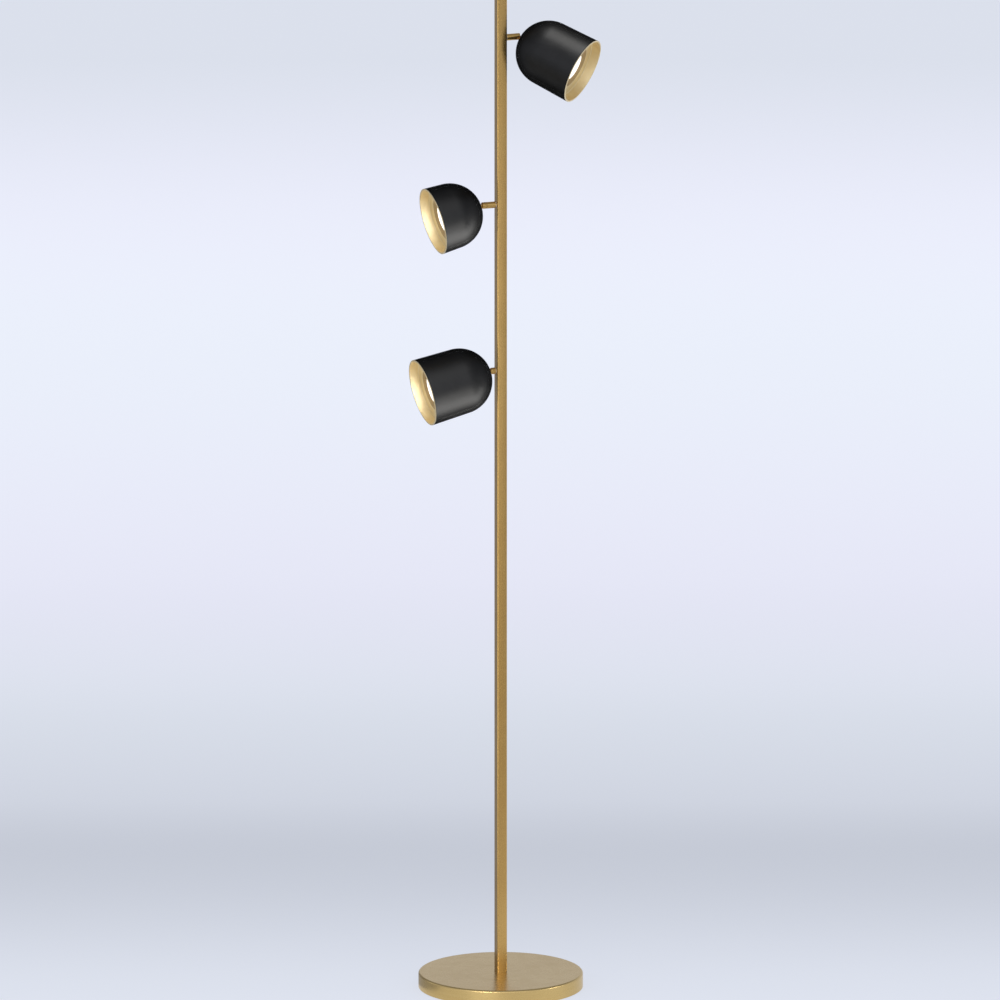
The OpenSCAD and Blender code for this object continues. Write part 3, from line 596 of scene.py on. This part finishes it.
def trim_ring(head):
    """Ring in the hole of the gold floor, with two fine turned grooves. Its darker gold is painted shade, which
    stands in for the shade deep in the recess.
    """
    face_r = FLOOR_HOLE_R - LINER_GAP
    lens_r = THROAT_R + LENS_LEDGE
    floor_back = RECESS + LINER
    flange_back = floor_back + RING_WALL
    lens_depth = RECESS + RING_FALL + LENS_LEDGE_T
    slope = RING_FALL / (face_r - THROAT_R)

    def fall(radius):
        return RECESS + (face_r - radius) * slope

    front = [(face_r, RECESS, FINE_R)]
    for at in (face_r - GROOVE_FROM_EDGE, THROAT_R + GROOVE_FROM_THROAT):
        front += [(at + GROOVE_HALF, fall(at + GROOVE_HALF), GROOVE_TOP_R),
                  (at, fall(at) + GROOVE_DEPTH, GROOVE_BOTTOM_R),
                  (at - GROOVE_HALF, fall(at - GROOVE_HALF), GROOVE_TOP_R)]
    front += [(THROAT_R, RECESS + RING_FALL, SOFT_R)]
    back = [(THROAT_R, lens_depth), (lens_r + HOLE_FIT, lens_depth),
            (lens_r + HOLE_FIT, lens_depth + LENS_T), (lens_r + 2 * RING_WALL, lens_depth + LENS_T),
            (lens_r + 2 * RING_WALL, flange_back), (FLOOR_HOLE_R + RING_FLANGE, flange_back),
            (FLOOR_HOLE_R + RING_FLANGE, floor_back), (face_r, floor_back)]
    mesh = lathe(f"{head.name}_trim_ring", rounded(front + back))
    stand_for(f"{head.name}_bezel", link_object(f"{head.name}_trim_ring", mesh, head.matrix))


def lens_disc(head):
    """Opal disc whose face swells a little towards the rim."""
    depth = RECESS + RING_FALL + LENS_LEDGE_T
    edge_r = THROAT_R + LENS_LEDGE
    shares = [step / LENS_STEPS for step in range(LENS_STEPS + 1)]
    face = [(THROAT_R * share, depth - LENS_CROWN * (1 - share ** 2)) for share in shares]
    profile = rounded(face + [(edge_r, depth, FINE_R), (edge_r, depth + LENS_T, FINE_R),
                              (0, depth + LENS_T)], closed=False)
    mesh = lathe(f"{head.name}_lens_disc", profile, closed=False)
    stand_for(f"{head.name}_lens", link_object(f"{head.name}_lens_disc", mesh, head.matrix))


# Base and pole

def base_skin():
    """Spun cover with a rounded top edge, a turned hem, and holes for the pole and the grommet."""
    low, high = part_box("base_cover")
    outer_r = high.x
    inner_r = outer_r - COVER_WALL
    inner_top = high.z - COVER_WALL
    inner_edge = COVER_EDGE_R - COVER_WALL
    profile = rounded([(0, high.z), (outer_r, high.z, COVER_EDGE_R), (outer_r, low.z, COVER_HEM_R),
                       (inner_r, low.z, COVER_HEM_R), (inner_r, inner_top, inner_edge),
                       (0, inner_top)], closed=False)
    piece = link_object("base_skin", lathe("base_skin", profile, closed=False, steps=BASE_STEPS))
    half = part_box("pole")[1].x + HOLE_FIT
    corner = POLE_CORNER_R + HOLE_FIT
    square = [(half, half, corner), (-half, half, corner), (-half, -half, corner),
              (half, -half, corner)]
    opening = prism("pole_hole", rounded(square), inner_top - COVER_WALL, high.z + COVER_WALL)
    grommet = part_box("cable_grommet")
    middle = (grommet[0].z + grommet[1].z) / 2
    neck_r = GROMMET_NECK_R + HOLE_FIT
    bore = lathe("grommet_hole", [(0, 0), (neck_r, 0), (neck_r, outer_r), (0, outer_r)],
                 closed=False, steps=GROMMET_STEPS)
    turn = Matrix.Translation((0, outer_r / 2, middle)) @ Matrix.Rotation(math.radians(-90), 4, "X")
    cut_away(piece, link_object("pole_hole", opening), link_object("grommet_hole", bore, turn))
    stand_for("base_cover", piece)


def pole_outline(half, corner_r, crown):
    """Rounded square whose flats swell by crown in their middle."""
    corners = []
    for quarter in range(4):
        turn = Matrix.Rotation(math.radians(90 * quarter), 2)
        for share in FLAT_SHARES:
            corners.append(tuple(turn @ Vector((half - crown * share ** 2, half * share))))
        corners.append((*(turn @ Vector((half - crown, half - crown))), corner_r))
    return rounded(corners)


def pole_tube():
    """Square tube with slightly crowned flats, and a hole for each stem's insert."""
    low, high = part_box("pole")
    half = high.x
    outer = pole_outline(half, POLE_CORNER_R, POLE_CROWN)
    piece = link_object("pole_tube", prism("pole_tube", outer, low.z, high.z))
    inner = pole_outline(half - POLE_WALL, POLE_CORNER_R - POLE_WALL, 0.0)
    tools = [link_object("tube_bore", prism("tube_bore", inner, low.z - half, high.z + half))]
    hole_r = INSERT_R + HOLE_FIT
    for head in HEADS:
        joint = next(j for j in frame["joints"] if j["name"] == f"{head}_swivel")
        out = Vector(joint["axis"])
        bore = lathe("stem_hole", [(0, -half / 2), (hole_r, -half / 2), (hole_r, half / 2),
                                   (0, half / 2)], closed=False, steps=INSERT_STEPS)
        turn = out.to_track_quat("Z", "Y").to_matrix().to_4x4()
        place = Matrix.Translation(Vector(joint["pos_m"])) @ turn
        tools.append(link_object("stem_hole", bore, place))
    cut_away(piece, *tools)
    stand_for("pole", piece)


# Width of the broken edges of the smaller pieces
EASED = {"pole_cap": 0.25 * MM, "swivel_inserts": 0.12 * MM, "cable_grommet": 0.3 * MM,
         "base_plate": 0.15 * MM, "base_pad": 0.4 * MM, "base_screws": 0.1 * MM}
EASED_ON_HEADS = {"stem": 0.25 * MM, "neck": 0.15 * MM, "pivot_screw": 0.12 * MM,
                  "swivel_washer": 0.1 * MM}


def make_pieces():
    base_skin()
    pole_tube()
    for node, width in EASED.items():
        eased(node, width)
    heads = [Head(name) for name in HEADS]
    for head in heads:
        shade_shell(head)
        liner(head)
        trim_ring(head)
        lens_disc(head)
        for part, width in EASED_ON_HEADS.items():
            eased(f"{head.name}_{part}", width)
    for node, cad in NODES.items():
        cad.data.materials.clear()
        cad.data.materials.append(material_of(node))
    return heads


# Floor and light

# Floor colours by the distance behind the lamp in metres, as the camera sees them, and as they
# show in reflections, where the floor in front gives the tall faces their tones
FLOOR_SEEN = [(-0.6, linear(224, 229, 241)), (0.1, linear(218, 223, 235)),
              (0.8, linear(198, 203, 215)), (1.2, linear(207, 212, 224)),
              (1.9, linear(219, 224, 236)), (2.7, linear(229, 231, 246)),
              (4.3, linear(234, 239, 251)), (5.5, linear(233, 236, 250)),
              (6.6, linear(219, 224, 236))]
FLOOR_MIRRORED = [(-6.4, linear(100, 105, 115)), (-5.3, linear(170, 174, 182)),
                  (-4.4, linear(300, 300, 304)), (-3.6, linear(258, 259, 261)),
                  (-2.8, linear(212, 212, 213)), (-2.0, linear(180, 174, 162)),
                  (-1.2, linear(178, 172, 162)), (-0.5, linear(201, 203, 209)),
                  (-0.2, linear(226, 228, 232)), (0.2, linear(208, 212, 223)),
                  (0.8, linear(200, 205, 217)), (2.7, linear(229, 231, 246)),
                  (6.6, linear(219, 224, 236))]
FLOOR_SIZE = 400.0
# The floor glows in these colours, less what the light on its matt surface adds, which is what
# keeps the lamp's shadow
FLOOR_MATT = 0.22
FLOOR_LIT = linear(91, 93, 99)
# A ramp holds no colour above 1, so it holds the colours divided by this
FLOOR_RANGE = 2.0


def floor_ramp(finish, behind, stops):
    """The stops' colours by distance, less what the light on the matt surface adds."""
    first, last = stops[0][0], stops[-1][0]
    ramp = finish.node("ShaderNodeValToRGB", {0: finish.between(behind, 0, 1, first, last)})
    ramp.color_ramp.interpolation = "CARDINAL"
    elements = ramp.color_ramp.elements
    for index, (distance, colour) in enumerate(stops):
        at = (distance - first) / (last - first)
        element = elements[index] if index < 2 else elements.new(at)
        element.position = at
        glow = [(channel - lit) / FLOOR_RANGE for channel, lit in zip(colour[:3], FLOOR_LIT)]
        element.color = (*glow, 1)
    return ramp.outputs[0]


def make_floor():
    mesh = bpy.data.meshes.new("floor")
    half = FLOOR_SIZE / 2
    mesh.from_pydata([(-half, -half, 0), (half, -half, 0), (half, half, 0), (-half, half, 0)],
                     [], [(0, 1, 2, 3)])
    floor = link_object("floor", mesh)
    finish = Finish("floor", (1, 1, 1), 1.0)
    behind = finish.node("ShaderNodeVectorMath",
                         {0: finish.place, 1: (-math.sin(AZIMUTH), math.cos(AZIMUTH), 0)},
                         operation="DOT_PRODUCT").outputs["Value"]
    mirrored = finish.node("ShaderNodeLightPath").outputs["Is Glossy Ray"]
    # Of the mix node's sockets, 6 and 7 take its two colours, and its output 2 gives the mixed one
    colour = finish.node("ShaderNodeMix", {"Factor": mirrored,
                                           6: floor_ramp(finish, behind, FLOOR_SEEN),
                                           7: floor_ramp(finish, behind, FLOOR_MIRRORED)},
                         data_type="RGBA").outputs[2]
    glow = finish.node("ShaderNodeEmission", {"Color": colour, "Strength": FLOOR_RANGE})
    matt = finish.node("ShaderNodeBsdfDiffuse", {"Color": (FLOOR_MATT, FLOOR_MATT, FLOOR_MATT, 1)})
    both = finish.node("ShaderNodeAddShader", {0: glow.outputs[0], 1: matt.outputs[0]})
    output = finish.tree.nodes["Material Output"]
    finish.tree.links.new(both.outputs[0], output.inputs["Surface"])
    finish.tree.nodes.remove(finish.shader)
    mesh.materials.append(finish.material)


# Brightness of the air round the lamp, by the height of the direction above the horizon
SKY = [(0.0, 0.78), (0.12, 0.80), (0.32, 0.74), (0.55, 0.38), (1.0, 0.34)]
SKY_TINT = linear(238, 242, 255)
# A broad glow from the front: its direction, the cosine from it at which the glow has gone, and how
# much it adds
SKY_FRONT = (-0.40, -0.90, 0.30)
SKY_FRONT_FROM = 0.30
SKY_FRONT_GAIN = 0.60


def make_world():
    world = bpy.data.worlds.new("world")
    world.use_nodes = True
    tree = world.node_tree
    new, link = tree.nodes.new, tree.links.new
    way = new("ShaderNodeTexCoord").outputs["Generated"]
    part = new("ShaderNodeSeparateXYZ")
    link(way, part.inputs[0])
    ramp = new("ShaderNodeValToRGB")
    elements = ramp.color_ramp.elements
    for index, (height, level) in enumerate(SKY):
        element = elements[index] if index < 2 else elements.new(height)
        element.position = height
        element.color = (*(channel * level for channel in SKY_TINT[:3]), 1)
    link(part.outputs["Z"], ramp.inputs[0])
    facing = new("ShaderNodeVectorMath")
    facing.operation = "DOT_PRODUCT"
    facing.inputs[1].default_value = Vector(SKY_FRONT).normalized()
    link(way, facing.inputs[0])
    fade = new("ShaderNodeMapRange")
    fade.interpolation_type = "SMOOTHSTEP"
    fade.inputs["From Min"].default_value = SKY_FRONT_FROM
    fade.inputs["To Max"].default_value = SKY_FRONT_GAIN
    link(facing.outputs["Value"], fade.inputs["Value"])
    front = new("ShaderNodeBackground")
    front.inputs["Color"].default_value = SKY_TINT
    link(fade.outputs[0], front.inputs["Strength"])
    sky = tree.nodes["Background"]
    link(ramp.outputs[0], sky.inputs["Color"])
    both = new("ShaderNodeAddShader")
    link(sky.outputs[0], both.inputs[0])
    link(front.outputs[0], both.inputs[1])
    link(both.outputs[0], tree.nodes["World Output"].inputs["Surface"])
    bpy.context.scene.world = world


def panel(name, matrix, size, power, pieces, bounces=0):
    """A soft panel of light that only some of the pieces receive and block. It faces its own -Z."""
    data = bpy.data.lights.new(name, "AREA")
    data.shape = "RECTANGLE"
    data.size, data.size_y = size
    data.energy = power
    data.cycles.max_bounces = bounces
    light = link_object(name, data, matrix)
    light.visible_camera = False
    group = bpy.data.collections.new(f"{name}_pieces")
    for piece in pieces:
        group.objects.link(bpy.data.objects[piece])
    light.light_linking.receiver_collection = group
    light.light_linking.blocker_collection = group


def soft_box(name, target, azimuth, elevation, distance, size, power, pieces):
    """A panel round a target. Azimuth 0 is in front, and 90 to the right, in degrees."""
    turn, rise = math.radians(azimuth), math.radians(elevation)
    direction = Vector((math.sin(turn) * math.cos(rise), -math.cos(turn) * math.cos(rise),
                        math.sin(rise)))
    panel(name, Matrix.Translation(Vector(target) + direction * distance)
          @ direction.to_track_quat("Z", "Y").to_matrix().to_4x4(), size, power, pieces)


# Sheen on the domes: head, azimuth, elevation, side of the square box, and power
SHEEN = {"upper_top_sheen": ("upper", 40, 72, 0.75, 11),
         "upper_low_sheen": ("upper", 0, -80, 1.0, 5),
         "middle_sheen": ("middle", 40, -44, 1.2, 29),
         "lower_sheen": ("lower", 40, -44, 1.2, 28),
         "middle_fill": ("middle", -30, 45, 1.4, 5),
         "lower_fill": ("lower", -30, 45, 1.4, 6)}
SHEEN_DISTANCE = 1.0
# Light that a lens throws on its liner: its power, its width, the gap between panel and lens, and
# how often the light is passed on
LENS_POWER = {"middle": 0.027, "lower": 0.030}
LENS_PANEL = 1.6 * THROAT_R
LENS_GAP = 0.3 * MM
LENS_BOUNCES = 4
# Azimuth, elevation, distance, size and power of the boxes that draw the bright corner of the pole
# and the glints on the rim of the base. The lowest stand under the level of the floor.
POLE_STRIP = (-60, 0, 1.2, (0.5, 1.6), 4.0)
BASE_BOXES = {"base_left_edge": (-42, 10, 1.2, (0.5, 0.25), 2.6),
              "base_right_edge": (54, 10, 1.2, (0.35, 0.25), 1.6),
              "base_left_side": (-36, -10, 1.2, (0.45, 0.3), 0.34),
              "base_right_side": (54, -10, 1.2, (0.45, 0.3), 0.26)}


def make_lights(heads):
    for name, (head, azimuth, elevation, size, power) in SHEEN.items():
        low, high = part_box(f"{head}_shade")
        soft_box(name, (low + high) / 2, azimuth, elevation, SHEEN_DISTANCE, (size, size), power,
                 [f"{head}_shade_shell"])
    for head in heads:
        if head.name in LENS_POWER:
            depth = RECESS + RING_FALL - LENS_CROWN - LENS_GAP
            face = head.matrix @ Matrix.Translation((0, 0, depth))
            panel(f"{head.name}_light", face, (LENS_PANEL, LENS_PANEL), LENS_POWER[head.name],
                  [f"{head.name}_liner", f"{head.name}_trim_ring"], LENS_BOUNCES)
    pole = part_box("pole")
    soft_box("pole_strip", (pole[0] + pole[1]) / 2, *POLE_STRIP, ["pole_tube", "pole_cap_eased"])
    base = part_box("base_cover")
    for name, place in BASE_BOXES.items():
        soft_box(name, (base[0] + base[1]) / 2, *place, ["base_skin"])


# Grey cards that only reflections see. A card stands at an azimuth, between two distances and up to
# a height, and its width is given at its near and far end. It starts at the floor, or higher up.
# The first shades the narrow side of the pole, the second the right of its wide side, and the third
# the left end of the base's rim.
CARDS = {"side_card": {"azimuth": -155.7, "reach": (0.16, 0.70), "width": (0.16, 0.50),
                       "rise": (0.0, 1.5), "glow": 0.30},
         "front_card": {"azimuth": 37, "reach": (0.80, 0.80), "width": (0.45, 0.45),
                        "rise": (0.16, 1.8), "glow": 0.50},
         "left_card": {"azimuth": -122, "reach": (0.13, 0.40), "width": (0.19, 0.56),
                       "rise": (0.0, 0.0), "glow": 0.44}}
CARD_LIFT = 2 * MM


def make_card(name, azimuth, reach, width, rise, glow):
    """A card that lies on the floor from its near end to its far end, and stands up there."""
    turn = math.radians(azimuth)
    away = Vector((math.sin(turn), -math.cos(turn), 0))
    aside = Vector((away.y, -away.x, 0))
    up = Vector((0, 0, 1))
    near, far = reach
    rows = [(near, width[0], rise[0] + CARD_LIFT), (far, width[1], rise[0] + CARD_LIFT),
            (far, width[1], rise[1])]
    if near == far:
        rows = rows[1:]
    if rise[0] == rise[1]:
        rows = rows[:2]
    points = [away * distance + aside * side * across / 2 + up * level
              for distance, across, level in rows for side in (-1, 1)]
    mesh = bpy.data.meshes.new(name)
    mesh.from_pydata(points, [], [(i, i + 1, i + 3, i + 2) for i in range(0, len(points) - 2, 2)])
    card = link_object(name, mesh)
    finish = Finish(name, (0, 0, 0), 1.0)
    shine = finish.node("ShaderNodeEmission", {"Color": SKY_TINT, "Strength": glow})
    finish.tree.links.new(shine.outputs[0], finish.tree.nodes["Material Output"].inputs["Surface"])
    finish.tree.nodes.remove(finish.shader)
    mesh.materials.append(finish.material)
    card.visible_camera = False
    card.visible_diffuse = False
    card.visible_shadow = False
    card.visible_transmission = False


make_camera()
head_frames = make_pieces()
make_floor()
make_world()
make_lights(head_frames)
for card_name, card_place in CARDS.items():
    make_card(card_name, **card_place)

bpy.context.scene.view_settings.view_transform = "Standard"
